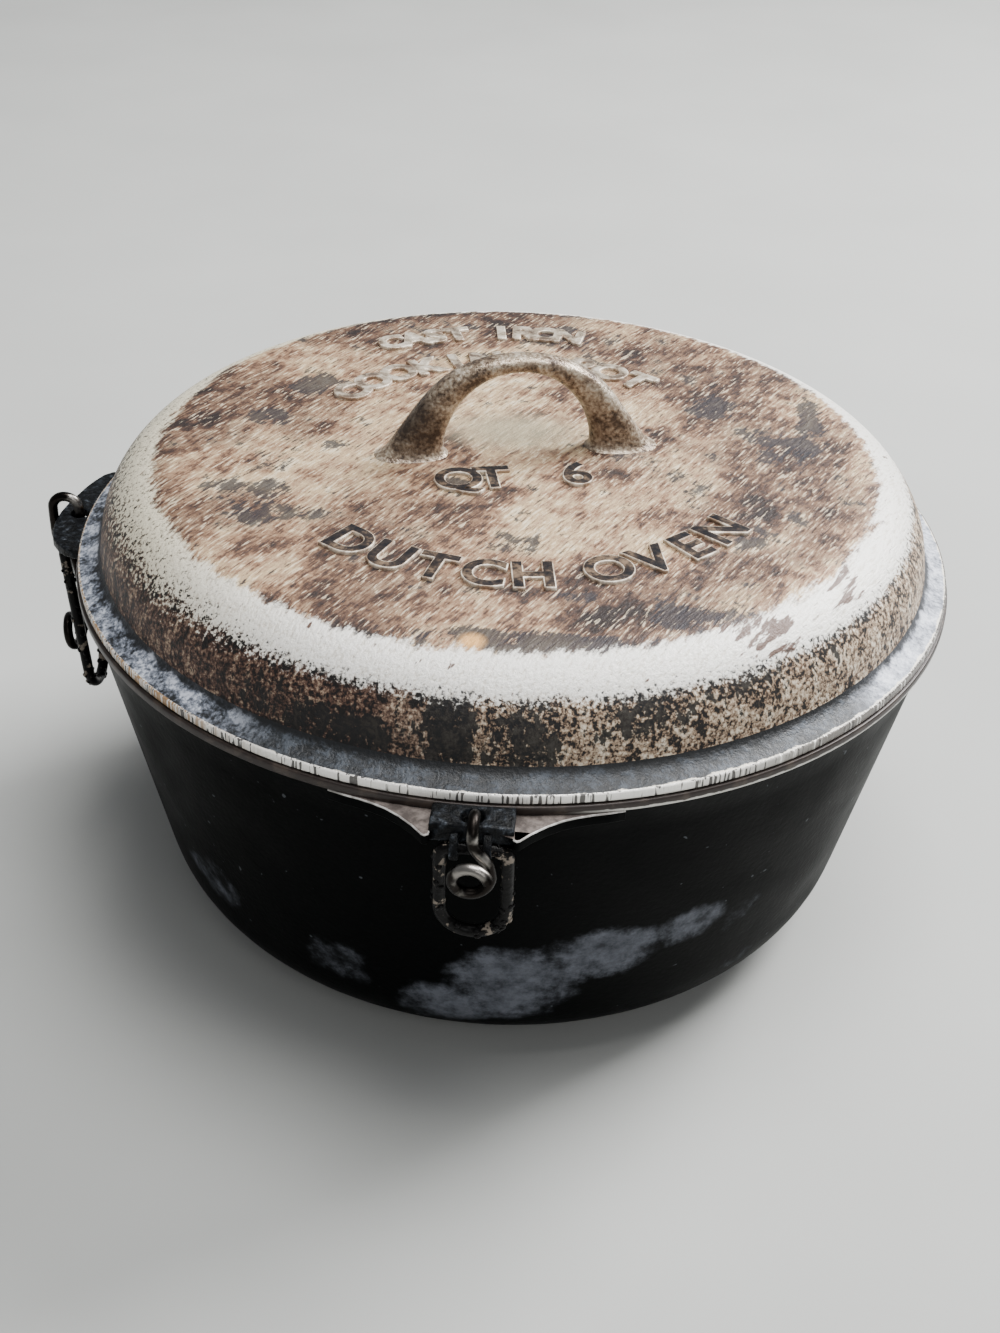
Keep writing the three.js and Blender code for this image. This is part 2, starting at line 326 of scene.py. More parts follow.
def ramp(tree, value, stops):
    """A colour by value, from (value, colour) stops."""
    made = add(tree, "ShaderNodeValToRGB", {0: value})
    elements = made.color_ramp.elements
    while len(elements) < len(stops):
        elements.new(0.5)
    for element, (at, colour) in zip(elements, stops):
        element.position = at
        element.color = shade(colour)
    return made


def bumped(tree, height, strength, millimetres):
    """Bump of about this depth."""
    return add(tree, BUMP, {"Height": height, "Strength": strength, "Distance": millimetres * MM})


def new_material(name, colour, **values):
    """A material with its Principled shader and Object coordinates."""
    material = bpy.data.materials.new(name)
    material.use_nodes = True
    material.diffuse_color = colour
    tree = material.node_tree
    tree.nodes.clear()
    shader = add(tree, "ShaderNodeBsdfPrincipled", {"Base Color": colour})
    for key, value in values.items():
        shader.inputs[key.replace("_", " ")].default_value = value
    add(tree, "ShaderNodeOutputMaterial", {"Surface": shader})
    place = add(tree, "ShaderNodeTexCoord").outputs["Object"]
    return material, tree, shader, place


def finish(tree, shader, **inputs):
    """Links the last nodes of a material to its shader."""
    for key, value in inputs.items():
        given = next(s for s in value.outputs if s.enabled)
        tree.links.new(given, shader.inputs[key.replace("_", " ")])


def in_mm(tree, place):
    return add(tree, VECTOR, {0: place, "Scale": 1000}, operation="SCALE")


def polar(tree, place):
    """Distance from the pot's axis, height and direction from the front, in millimetres and degrees."""
    flat = add(tree, VECTOR, {0: place, 1: (1000, 1000, 0)}, operation="MULTIPLY")
    radius = add(tree, VECTOR, {0: flat}, operation="LENGTH")
    parts = add(tree, "ShaderNodeSeparateXYZ", {0: place}).outputs
    height = times(tree, parts["Z"], 1000)
    front = times(tree, parts["Y"], -1)
    angle = add(tree, MATH, {0: parts["X"], 1: front}, operation="ARCTAN2")
    degrees = add(tree, MATH, {0: angle}, operation="DEGREES")
    return radius, height, degrees


def toward(tree, degrees, start, end):
    """A share that rises from start to end, in degrees from the front, and dies away again before the
    back, so that no seam is left there."""
    rise = soft(tree, degrees, start, end)
    turn = add(tree, MATH, {0: degrees}, operation="ABSOLUTE")
    fade = soft(tree, turn, 176, 128)
    return times(tree, rise, fade)


def patches(tree, place, spots):
    """Soft round patches, each (x, y, z, half sizes in x, y and z, strength). Where they overlap, the
    strongest shows."""
    total = None
    for x, y, z, rx, ry, rz, strength in spots:
        links = {0: place, 1: (1 / rx, 1 / ry, 1 / rz), 2: (-x / rx, -y / ry, -z / rz)}
        local = add(tree, VECTOR, links, operation="MULTIPLY_ADD")
        far = add(tree, VECTOR, {0: local}, operation="LENGTH")
        near = soft(tree, far, 1.4, 0.3, strength)
        total = near if total is None else add(tree, MATH, {0: total, 1: near}, operation="MAXIMUM")
    return total


def brushed(tree, place, degrees, stretch):
    """Coordinates drawn out along one direction, for the streaks that a wire brush leaves."""
    facing = add(tree, MAPPING, {"Vector": place, "Rotation": (0, 0, math.radians(-degrees))})
    return add(tree, MAPPING, {"Vector": facing, "Scale": (1 / stretch, 1, 1)})


BRUSH_TURN = 62  # direction of the brush marks on the lid, in degrees from +X


def lid_iron():
    """Wire-brushed cast iron under thin dry rust: mottled tan and brown on top with short brush marks,
    rubbed pale on the shoulder, and speckled brown, tan and black on the side wall."""
    c = colours()
    material, tree, shader, place = new_material("wire_brushed_rusty_cast_iron", c.tan)
    radius, height, degrees = polar(tree, place)
    mm = in_mm(tree, place)
    lines = brushed(tree, place, BRUSH_TURN, 6)
    fibre = noise(tree, lines, 0.9, 3.0, 0.6)
    stroke = noise(tree, lines, 2.8, 4.0, 0.6)
    blotch = noise(tree, place, 15, 6.0, 0.7)
    broad = noise(tree, place, 46, 3.0)
    grain = noise(tree, place, 1.3, 4.0, 0.7)

    # the mottle on top: blotches broken up by the brush marks
    tone = times(tree, broad, 0.5)
    tone = times_plus(tree, blotch, 0.8, tone)
    tone = times_plus(tree, stroke, 0.26, tone)
    tone = times_plus(tree, fibre, 0.34, tone)
    tone = linear(tree, tone, 0.77, 1.13)
    top = ramp(tree, tone, [
            (0.08, "2f2522"),
            (0.3, "64493a"),
            (0.46, c.brown),
            (0.6, c.tan),
            (0.8, "c4aa84"),
            (1.0, "dccbae"),
        ])
    mauve = soft(tree, broad, 0.56, 0.44, 0.55)
    top = mix(tree, mauve, top, "96909a", blend_type="MULTIPLY")
    light = soft(tree, fibre, 0.57, 0.66, 0.62)
    top = mix(tree, light, top, "e6d6bb")
    gouge = soft(tree, fibre, 0.42, 0.34, 0.6)
    top = mix(tree, gouge, top, "3c2f2a")
    # dark blue-black stains where the seasoning hasn't rubbed off
    spots = [
        (-71, 40, 155, 13, 9, 20, 1),
        (-84, 14, 155, 9, 9, 20, 1),
        (-79, -18, 155, 8, 8, 20, 0.9),
        (88, 12, 155, 13, 12, 20, 1),
        (62, 42, 155, 9, 15, 20, 0.9),
        (97, 36, 155, 7, 12, 20, 1),
        (8, -110, 155, 42, 6, 20, 1.1),
        (58, -94, 155, 20, 7, 20, 1.1),
        (12, -86, 155, 22, 5, 20, 0.8),
        (0, -61, 155, 12, 7, 20, 0.8),
        (-72, -45, 155, 12, 16, 20, 0.8),
        (70, -40, 155, 12, 12, 20, 0.6),
        (-46, -62, 155, 12, 8, 20, 0.5),
        (10, 92, 155, 22, 10, 20, 0.8),
        (-10, -26, 155, 16, 4, 20, 0.7),
        (30, 4, 155, 9, 6, 20, 0.8),
    ]
    stain = times_plus(tree, patches(tree, mm, spots), 0.15, blotch)
    stain = times_plus(tree, fibre, -0.3, stain)
    stain = soft(tree, stain, 0.42, 0.5, 0.88)
    top = mix(tree, stain, top, "25242a")
    # smooth green-grey iron under the grip, and one spot of fresh orange rust
    under = patches(tree, mm, [(-2, 12, 156, 22, 14, 14, 0.75)])
    top = mix(tree, under, top, "a39a80")
    fresh = patches(tree, mm, [(-4, -112, 154, 3.6, 3.6, 9, 1)])
    top = mix(tree, fresh, top, "dba766")

    # the side wall: dark brown to the left, tan to the right, black stains at the front, all speckled
    upright = add(tree, MAPPING, {"Vector": place, "Scale": (1, 1, 0.5)})
    clump = noise(tree, upright, 4.2, 4.0, 0.7)
    speck = times_plus(tree, clump, 0.9, grain)
    speck = linear(tree, speck, 0.68, 1.22)
    brown = ramp(tree, speck, [(0.3, "120f0e"), (0.44, "3f2c25"), (0.6, "664b3e"), (0.85, "b39c84")])
    tan = ramp(tree, speck, [(0.34, "171413"), (0.43, "7a624f"), (0.6, "bba58c"), (0.85, "ecdfcb")])
    right = toward(tree, degrees, -16, 8)
    side = mix(tree, right, brown, tan)
    spots = [
        (-38, -127, 133, 22, 30, 9, 0.85),
        (-8, -133, 138, 8, 30, 15, 1.15),
        (12, -133, 136, 12, 30, 13, 0.85),
        (44, -124, 142, 16, 24, 8, 0.7),
        (72, -112, 145, 16, 24, 6, 0.6),
        (96, -90, 147, 12, 24, 6, 0.5),
        (-60, -118, 134, 12, 24, 14, 0.5),
    ]
    black = times_plus(tree, patches(tree, mm, spots), 0.26, clump)
    black = times_plus(tree, grain, -0.34, black)
    black = soft(tree, black, 0.42, 0.5, 0.95)
    side = mix(tree, black, side, "111214")

    # the rubbed shoulder between them: its edges are ragged, and it fades into specks on the left
    left = toward(tree, degrees, -18, -62)
    streak = soft(tree, fibre, 0.5, 0.34, 0.5)
    bare = mix(tree, left, c.bare, "d8d0b8")
    bare = mix(tree, streak, bare, "b8ad99")
    pits = soft(tree, grain, 0.48, 0.36, 0.8)
    pits = times(tree, pits, left)
    bare = mix(tree, pits, bare, "6d6354")
    spots = [(76, -93, 151, 18, 9, 9, 1), (100, -66, 151, 9, 13, 8, 0.8)]
    flecks = times_plus(tree, patches(tree, mm, spots), 0.2, stroke)
    flecks = soft(tree, flecks, 0.66, 0.72)
    bare = mix(tree, flecks, bare, "5b4338")

    ragged = times_plus(tree, stroke, 11, radius)
    ragged = times_plus(tree, grain, 5, ragged)
    on_top = soft(tree, ragged, 125.2, 122.6)
    reach = times_plus(tree, left, 34, 14)
    spread = add(tree, MATH, {0: grain, 1: -0.5}, operation="ADD")
    low = times_plus(tree, spread, reach, height)
    on_side = soft(tree, low, 147.6, 145.4)
    colour = mix(tree, on_top, bare, top)
    colour = mix(tree, on_side, colour, side)
    rusty = add(tree, MATH, {0: on_top, 1: on_side}, operation="MAXIMUM")
    rough = linear(tree, rusty, 0, 1, 0.3, 0.4)
    rough = times_plus(tree, grain, 0.2, rough)
    metal = linear(tree, rusty, 0, 1, 0.1, 0.3)
    relief = add(tree, MATH, {0: fibre, 1: grain}, operation="ADD")
    bump = bumped(tree, relief, 0.4, 0.8)
    finish(tree, shader, Base_Color=colour, Roughness=rough, Metallic=metal, Normal=bump)
    return material


def grip_iron():
    """Cast iron rubbed by hands: smoother and greyer than the lid, with painted shade on the left arm and on
    the inner face of the right arm.
    """
    material, tree, shader, place = new_material("hand_rubbed_cast_iron", hex_rgb("a39683"))
    mm = in_mm(tree, place)
    cloud = noise(tree, place, 8, 6.0, 0.7)
    grain = noise(tree, place, 1.2, 3.0)
    tone = times_plus(tree, grain, 0.5, cloud)
    tone = linear(tree, tone, 0.58, 0.94)
    colour = ramp(tree, tone, [(0.08, "4f4238"), (0.36, "83715f"), (0.62, "ab9c88"), (0.95, "d6cab8")])
    # painted shade: darker on the left arm's outer side and on the inner face of the right arm
    dark = patches(tree, mm, [(-34, -11, 172, 9, 8, 16, 0.8), (22, 8, 170, 6, 8, 16, 0.55)])
    dark = times(tree, dark, 0.9)
    colour = mix(tree, dark, colour, "37302b")
    bump = bumped(tree, tone, 0.35, 0.7)
    rough = linear(tree, grain, 0.3, 0.7, 0.26, 0.44)
    finish(tree, shader, Base_Color=colour, Roughness=rough, Normal=bump)
    shader.inputs["Metallic"].default_value = 0.45
    return material


def letter_face():
    """Tops of the raised letters: dark seasoned iron at the front, paler towards the back, partly rubbed
    iron and partly a painted sheen.
    """
    iron = hex_rgb("4a423d")
    material, tree, shader, place = new_material("letter_tops_dark_iron", iron, Metallic=0.4)
    _, _, degrees = polar(tree, place)
    # paler towards the back: partly rubbed iron, partly a painted sheen
    back = add(tree, MATH, {0: degrees}, operation="ABSOLUTE")
    back = soft(tree, back, 80, 120)
    cloud = noise(tree, place, 5, 5.0, 0.7)
    tone = linear(tree, cloud, 0.32, 0.68)
    dark = ramp(tree, tone, [(0.2, "1b1b1f"), (0.55, "3a322e"), (0.9, "8a745f")])
    pale = ramp(tree, tone, [(0.2, "6b5c50"), (0.5, "b3a591"), (0.8, "ddd3c3")])
    colour = mix(tree, back, dark, pale)
    bump = bumped(tree, cloud, 0.3, 0.8)
    finish(tree, shader, Base_Color=colour, Normal=bump)
    shader.inputs["Roughness"].default_value = 0.34
    return material


def ground_iron():
    """The lid's flat edge, ground and gone blue-grey: even and dark at the front, mottled with black at
    the left, paler at the right, and worn to bright metal along its outer corner."""
    material, tree, shader, place = new_material("ground_blue_grey_iron", hex_rgb("6d737b"))
    radius, _, degrees = polar(tree, place)
    cloud = noise(tree, place, 7, 6.0, 0.72)
    fine = noise(tree, place, 1.2, 3.0, 0.6)
    tone = times_plus(tree, fine, 0.5, cloud)
    tone = linear(tree, tone, 0.58, 0.92)
    stops = [(0.14, "17191c"), (0.36, "4a4f58"), (0.6, "838995"), (0.9, "c4c9d4")]
    mottled = ramp(tree, tone, stops)
    even = ramp(tree, tone, [(0.1, "0f1113"), (0.5, "202429"), (0.9, "424850")])
    pale = ramp(tree, tone, [(0.1, "5d626e"), (0.5, "a2a7b3"), (0.9, "d0d4de")])
    left = toward(tree, degrees, -24, -38)
    right = toward(tree, degrees, 48, 56)
    colour = mix(tree, left, even, mottled)
    colour = mix(tree, right, colour, pale)
    # painted shade in the inner corner of the flange, next to the lid's wall
    ragged = times_plus(tree, cloud, 5, radius)
    flange_corner_shade = soft(tree, ragged, 138.6, 137.2, 0.92)
    colour = mix(tree, flange_corner_shade, colour, "141517")
    # the worn corner is wider on the right
    side = toward(tree, degrees, 0, 30)
    outer = times_plus(tree, cloud, 3.5, radius)
    outer = times_plus(tree, side, 0.5, outer)
    worn = soft(tree, outer, 142.6, 143.0)
    colour = mix(tree, worn, colour, "e9e3d5")
    rough = linear(tree, fine, 0.3, 0.7, 0.4, 0.58)
    bump = bumped(tree, tone, 0.35, 0.6)
    shader.inputs["Metallic"].default_value = 0.1
    finish(tree, shader, Base_Color=colour, Roughness=rough, Normal=bump)
    return material


def machined_edge(name, bright):
    """The lid's turned edge: bright, crossed by thin dark upright nicks at the front and warm short
    marks at the left, and dull towards the right."""
    material, tree, shader, place = new_material(name, bright, Metallic=0.1, Roughness=0.25)
    _, _, degrees = polar(tree, place)
    across = add(tree, MAPPING, {"Vector": place, "Scale": (1, 1, 0.08)})
    marks = noise(tree, across, 1.0, 1.0, 0.6)
    group = noise(tree, across, 11, 2.0)
    depth = times_plus(tree, group, 0.5, marks)
    left = toward(tree, degrees, -20, -40)
    right = toward(tree, degrees, 22, 44)
    warm = soft(tree, depth, 0.62, 0.84)
    warm = times(tree, warm, left)
    colour = mix(tree, warm, bright, "a2825f")
    grey = soft(tree, depth, 1.0, 0.82, 0.9)
    grey = times(tree, grey, right)
    colour = mix(tree, grey, colour, "57514b")
    nick = soft(tree, depth, 0.66, 0.62, 0.95)
    colour = mix(tree, nick, colour, "4a4745")
    bump = bumped(tree, marks, 0.4, 0.6)
    finish(tree, shader, Base_Color=colour, Normal=bump)
    return material


def rim_iron():
    """The pot's turned rim: dark brown oxide, with a painted highlight: a bright line along its lower
    corner, towards the right.
    """
    c = colours()
    material, tree, shader, place = new_material("turned_brown_rim_iron", c.rim, Metallic=0.3, Roughness=0.4)
    _, height, degrees = polar(tree, place)
    cloud = noise(tree, place, 5, 4.0, 0.6)
    light = soft(tree, cloud, 0.45, 0.7, 0.4)
    colour = mix(tree, light, c.rim, "5f534a")
    # painted highlight: a bright line along the rim's lower corner, only towards the right
    ragged = times_plus(tree, cloud, 1.6, height)
    line = soft(tree, ragged, 121.1, 120.7)
    line = times(tree, line, toward(tree, degrees, 8, 18))
    colour = mix(tree, line, colour, "c9c6c0")
    bump = bumped(tree, cloud, 0.25, 0.5)
    finish(tree, shader, Base_Color=colour, Normal=bump)
    return material


def pot_iron():
    """Seasoned cast iron: baked-on satin black over a fine sand-cast grain, with a smoky ash-grey haze
    low on the wall, inside as well as out, and a few pale dust specks."""
    c = colours()
    material, tree, shader, place = new_material("seasoned_black_cast_iron", c.black)
    _, height, degrees = polar(tree, place)
    spot = add(tree, "ShaderNodeCombineXYZ", {"X": degrees, "Y": height})
    cloud = noise(tree, place, 26, 7.0, 0.6)
    vein = noise(tree, place, 7, 6.0, 0.7)
    fine = noise(tree, place, 1.8, 3.0)
    # patches by direction from the front in degrees, and height
    spots = [
        (6, 38, 0, 13, 22, 1, 1),
        (18, 52, 0, 11, 16, 1, 1),
        (30, 56, 0, 7, 11, 1, 1),
        (-4, 26, 0, 9, 14, 1, 0.95),
        (39, 50, 0, 5, 14, 1, 0.55),
        (42, 26, 0, 9, 6, 1, 0.5),
        (-20, 36, 0, 11, 16, 1, 0.55),
        (-44, 42, 0, 10, 14, 1, 0.5),
        (150, 50, 0, 20, 16, 1, 0.75),
        (-140, 46, 0, 24, 18, 1, 0.75),
    ]
    haze = patches(tree, spot, spots)
    smoky = times_plus(tree, haze, 0.7, cloud)
    smoky = times_plus(tree, vein, 0.5, smoky)
    mask = soft(tree, smoky, 1.06, 1.44)
    density = linear(tree, vein, 0.34, 0.62, 0.3, 1)
    mask = times(tree, mask, density)
    colour = mix(tree, mask, c.black, c.ash)
    dust = noise(tree, place, 3.2, 1.0)
    dust = soft(tree, dust, 0.755, 0.79, 0.6)
    colour = mix(tree, dust, colour, "5b5f63")
    rough = linear(tree, cloud, 0.3, 0.7, 0.36, 0.5)
    bump = bumped(tree, fine, 0.2, 0.5)
    # the dry soot of the seasoning takes most of the mirror-like shine away
    shader.inputs["Specular IOR Level"].default_value = 0.02
    finish(tree, shader, Base_Color=colour, Roughness=rough, Normal=bump)
    return material


def rough_skin():
    """The unmachined cast skin of the ears: dark and pebbly, with paler high spots."""
    material, tree, shader, place = new_material("rough_dark_cast_skin", hex_rgb("2b2c2d"))
    pebble = noise(tree, place, 2.4, 5.0, 0.6)
    stops = [(0.42, "070809"), (0.54, "15171a"), (0.62, "2b2f34"), (0.72, "5a5f65")]
    colour = ramp(tree, pebble, stops)
    bump = bumped(tree, pebble, 0.8, 1.4)
    shader.inputs["Specular IOR Level"].default_value = 0.12
    shader.inputs["Roughness"].default_value = 0.36
    finish(tree, shader, Base_Color=colour, Normal=bump)
    return material


def wear_and_highlight_skin(name, base, pale):
    """Cast iron in two mottled tones: ear tops worn thin of their black, a dull brown-grey with paler rubs,
    and painted highlights on the ears' corners and the letters' bevels.
    """
    material, tree, shader, place = new_material(name, base, Metallic=0.2, Roughness=0.42)
    cloud = noise(tree, place, 5, 6.0, 0.7)
    rub = soft(tree, cloud, 0.4, 0.64)
    colour = mix(tree, rub, base, pale)
    bump = bumped(tree, cloud, 0.3, 0.7)
    finish(tree, shader, Base_Color=colour, Normal=bump)
    return material


def wire_steel():
    """Drawn steel wire, tarnished nearly black, with bright steel where the hooks rub, and a painted
    highlight where the light catches the eyes and arches.
    """
    c = colours()
    material, tree, shader, place = new_material("tarnished_steel_wire", c.wire, Metallic=1.0)
    mm = in_mm(tree, place)
    tarnish = noise(tree, place, 4.0, 4.0)
    # bright places, rubbed steel with a painted highlight on top: the top and bottom of an eye, the shank,
    # and the arch's inner end
    spots = [
        (0.8, -159, 114.5, 7, 7, 4.5, 0.75),
        (-1, -161, 106, 8, 3, 5, 0.4),
        (0.9, -154.5, 121, 2.4, 2.4, 2.4, 0.8),
        (-148, -0.7, 126, 4.5, 3, 4.5, 1),
        (0.8, 159, 114.5, 7, 7, 4.5, 0.75),
        (0.7, 149, 123, 4, 4, 3, 1),
    ]
    bright = times_plus(tree, patches(tree, mm, spots), 0.6, tarnish)
    bright = soft(tree, bright, 0.62, 0.95)
    colour = mix(tree, bright, "211e1c", c.wire)
    rough = linear(tree, tarnish, 0.35, 0.65, 0.24, 0.42)
    bump = bumped(tree, tarnish, 0.3, 0.8)
    finish(tree, shader, Base_Color=colour, Roughness=rough, Normal=bump)
    return material


def loop_iron():
    """Forged black iron, lumpy from the hammer, paler brown-grey on its high spots: partly rubbed iron,
    partly painted glints.
    """
    c = colours()
    material, tree, shader, place = new_material("hammered_black_iron", c.loop)
    lumps = noise(tree, place, 3.4, 4.0, 0.6)
    # paler high spots on the lumps: rubbed iron and painted glints
    high = soft(tree, lumps, 0.56, 0.62)
    colour = mix(tree, high, c.loop, "857b70")
    bump = bumped(tree, lumps, 0.5, 1.0)
    shader.inputs["Specular IOR Level"].default_value = 0.1
    shader.inputs["Roughness"].default_value = 0.28
    finish(tree, shader, Base_Color=colour, Normal=bump)
    return material


def plain_floor():
    """A plain pale matt floor with a trace of trowelled unevenness."""
    c = colours()
    material, tree, shader, place = new_material("pale_floor_plaster", c.floor)
    cloud = noise(tree, place, 140, 6.0)
    tone = linear(tree, cloud, 0.3, 0.7, 0.96, 1.04)
    level = add(tree, VECTOR, {0: c.floor[:3], "Scale": tone}, operation="SCALE")
    shader.inputs["Roughness"].default_value = 0.75
    finish(tree, shader, Base_Color=level)
    return material


# ---------------------------------------------------------------- pot

HOLE_R, HOLE_D = 146.2, 6.4
HINGE_R, HINGE_DROP = 150.2, 8.2
BORE_D = 4.7
KNUCKLE_R, KNUCKLE_IN, KNUCKLE_OUT = 3.6, 3.3, 5.7
LUG_THICK = 3.6
FLARED_DROP = 2.8  # the flared ears' top below the rim
BLOCK_DROP, BLOCK_HALF, BLOCK_R = 0.2, 11.4, 150.6
ROOT_R = 138.0  # an ear's inner edge, inside the wall
SKIN, RIM, ROUGH, WING, WING_EDGE_HIGHLIGHT = range(5)

# half of a flared ear's outline, as (sideways, outward), from the wall to the middle
FLARED = [
    (41.0, 132.0),
    (40.6, 136.3),
    (36.0, 138.0),
    (32.0, 139.2),
    (28.0, 140.7),
    (24.0, 142.6),
    (20.0, 145.4),
    (16.0, 149.0),
    (13.2, 152.2),
    (12.3, 152.7),
    (11.2, 152.0),
    (11.0, 149.0),
]
# the rounded ear's outline, from its right end to its left
ROUNDED = [
    (24.9, 136.7),
    (24.6, 142.3),
    (23.4, 145.4),
    (21.2, 148.0),
    (17.6, 150.6),
    (12.5, 152.3),
    (6.0, 153.0),
    (0.0, 153.0),
    (-8.0, 151.8),
    (-12.5, 150.6),
    (-18.0, 149.3),
    (-23.0, 147.6),
    (-27.4, 145.6),
    (-30.0, 143.0),
    (-31.0, 136.7),
]


# the outside of the wall just above its rounded foot and just below the rim
FOOT_TOP_R, FOOT_TOP_Z, WALL_TOP_R, WALL_TOP_DROP = 120.5, 26, 139.6, 5
FOOT_R, BASE_THICK = 33, 5


def pot_profile(rim, wall):
    """The pot's section, from the middle of the base, up the outside and down the inside."""
    slope = (WALL_TOP_R - FOOT_TOP_R) / (RIM_Z - WALL_TOP_DROP - FOOT_TOP_Z)
    lean = math.degrees(math.atan(slope))
    mid = FOOT_TOP_R - FOOT_R * math.cos(math.radians(lean))
    inside_top = WALL_TOP_R - wall + slope * WALL_TOP_DROP
    points = [(0, 0, SKIN), (60, 0, SKIN)]
    points += arc(mid, FOOT_R, FOOT_R, -90, -lean, 14, SKIN)
    for h in np.linspace(4, RIM_Z - WALL_TOP_DROP - FOOT_TOP_Z, 10):
        points.append((FOOT_TOP_R + slope * h, FOOT_TOP_Z + h, SKIN))
    points += [
        (rim - 2.2, RIM_Z - 4.4, SKIN),
        (rim - 1.3, RIM_Z - 3.7, SKIN),
        (rim - 0.5, RIM_Z - 3.0, RIM),
        (rim - 0.2, RIM_Z - 2.7, RIM),
        (rim, RIM_Z - 2.3, RIM),
        (rim, RIM_Z - 0.5, RIM),
        (rim - 0.2, RIM_Z - 0.1, RIM),
        (rim - 0.5, RIM_Z, RIM),
        (inside_top + 0.6, RIM_Z, SKIN),
        (inside_top + 0.15, RIM_Z - 0.15, SKIN),
        (inside_top, RIM_Z - 0.6, SKIN),
    ]
    for h in np.linspace(RIM_Z - 8, 34, 8):
        points.append((FOOT_TOP_R - wall + slope * (h - FOOT_TOP_Z), h, SKIN))
    points += arc(mid, BASE_THICK + FOOT_R - wall, FOOT_R - wall, -lean, -90, 12, SKIN)
    points += [(40, BASE_THICK, SKIN), (0, BASE_THICK, SKIN)]
    return points


def by_facing(verts, faces, top, corner, rest):
    """A slot for each face: level tops, the rounded corner below them, and everything else."""
    slots = []
    for face in faces:
        points = [Vector(verts[i]) for i in face]
        area = sum((a.cross(b) for a, b in zip(points, points[1:] + points[:1])), Vector())
        tilt = area.normalized().z
        slots.append(top if tilt > 0.97 else corner if tilt > 0.12 else rest)
    return slots


def ear_parts(flared, turn):
    """One cast ear, drawn at the front and turned: the plate with its upright hole, a rough middle
    block on a flared ear, and the two knuckles that hold the loop's bar."""
    hole = circle(0, -HOLE_R, HOLE_D / 2, 40)
    parts = []

    def plate(outlines, low, high, bevel, slots):
        verts, faces = flat_solid(outlines, low, high, bevel, lambda x, y, z: (x, y, z))
        parts.append((turned(verts, turn).tolist(), faces, by_facing(verts, faces, *slots)))

    if flared:
        root = [(t, -math.sqrt(ROOT_R**2 - t**2)) for t in np.linspace(-30, 30, 13)]
        edge = [(t, -r) for t, r in FLARED] + [(-t, -r) for t, r in reversed(FLARED)]
        top = RIM_Z - FLARED_DROP
        # the wings' bevelled corners take a near-white painted highlight
        plate([edge + root, hole], top - LUG_THICK, top, 0.45, (WING, WING_EDGE_HIGHLIGHT, SKIN))
        block = [
            (-BLOCK_HALF, -BLOCK_R),
            (BLOCK_HALF, -BLOCK_R),
            (BLOCK_HALF, -ROOT_R),
            (-BLOCK_HALF, -ROOT_R),
        ]
        plate([block, hole], top - LUG_THICK, RIM_Z - BLOCK_DROP, 0.9, (ROUGH, ROUGH, ROUGH))
    else:
        edge = [(t, -r) for t, r in ROUNDED]
        plate([edge, hole], RIM_Z - LUG_THICK, RIM_Z, 0.8, (ROUGH, ROUGH, ROUGH))
    low = RIM_Z - HINGE_DROP
    rounded = []
    for a in np.linspace(0, -math.pi, 17):
        rounded.append((HINGE_R + KNUCKLE_R * math.cos(a), low + KNUCKLE_R * math.sin(a)))
    shape = rounded + [(HINGE_R - KNUCKLE_R, RIM_Z - 3), (HINGE_R + KNUCKLE_R - 2.2, RIM_Z - 3)]
    bore = circle(HINGE_R, low, BORE_D / 2, 28)
    for side in (-1, 1):
        upright = lambda r, z, depth: (side * depth, -r, z)
        verts, faces = flat_solid([shape, bore], KNUCKLE_IN, KNUCKLE_OUT, 0.3, upright)
        parts.append((turned(verts, turn).tolist(), outward(verts, faces), ROUGH))
    return parts


def build_pot():
    s = sizes()
    materials = [
        pot_iron(),
        rim_iron(),
        rough_skin(),
        wear_and_highlight_skin("rubbed_brown_ear_iron", hex_rgb("4a423e"), hex_rgb("7d736d")),
        # painted highlight along the bevelled corners of the flared ears' wings
        wear_and_highlight_skin("ear_corner_painted_highlight", hex_rgb("9a9691"), hex_rgb("e4e2de")),
    ]
    parts = [lathe(pot_profile(s.rim_radius / MM, s.wall / MM), AROUND)]
    for ear, turn in EARS.items():
        parts += ear_parts(ear != "left", turn)
    verts, faces, slots = merge(parts)
    obj = new_object("pot_casting", verts, faces, materials, slots)
    settle(obj, "pot", replaced="pot")


# ---------------------------------------------------------------- lid

TOP, FLANGE, BRIGHT, GRIP = range(4)
SHOULDER_R, SHOULDER_MID_R, SHOULDER_MID_Z = 24.0, 109.43, 130.8
LID_TOP_Z = SHOULDER_MID_Z + SHOULDER_R
CROWN = 1.4
LID_FOOT_R, SEAT_GAP, EDGE_THICK = 134.0, 0.35, 2.9
GRIP_YAW = 13.0


def crown_z(r):
    return LID_TOP_Z + CROWN * (1 - min(1.0, (r / SHOULDER_MID_R) ** 2))


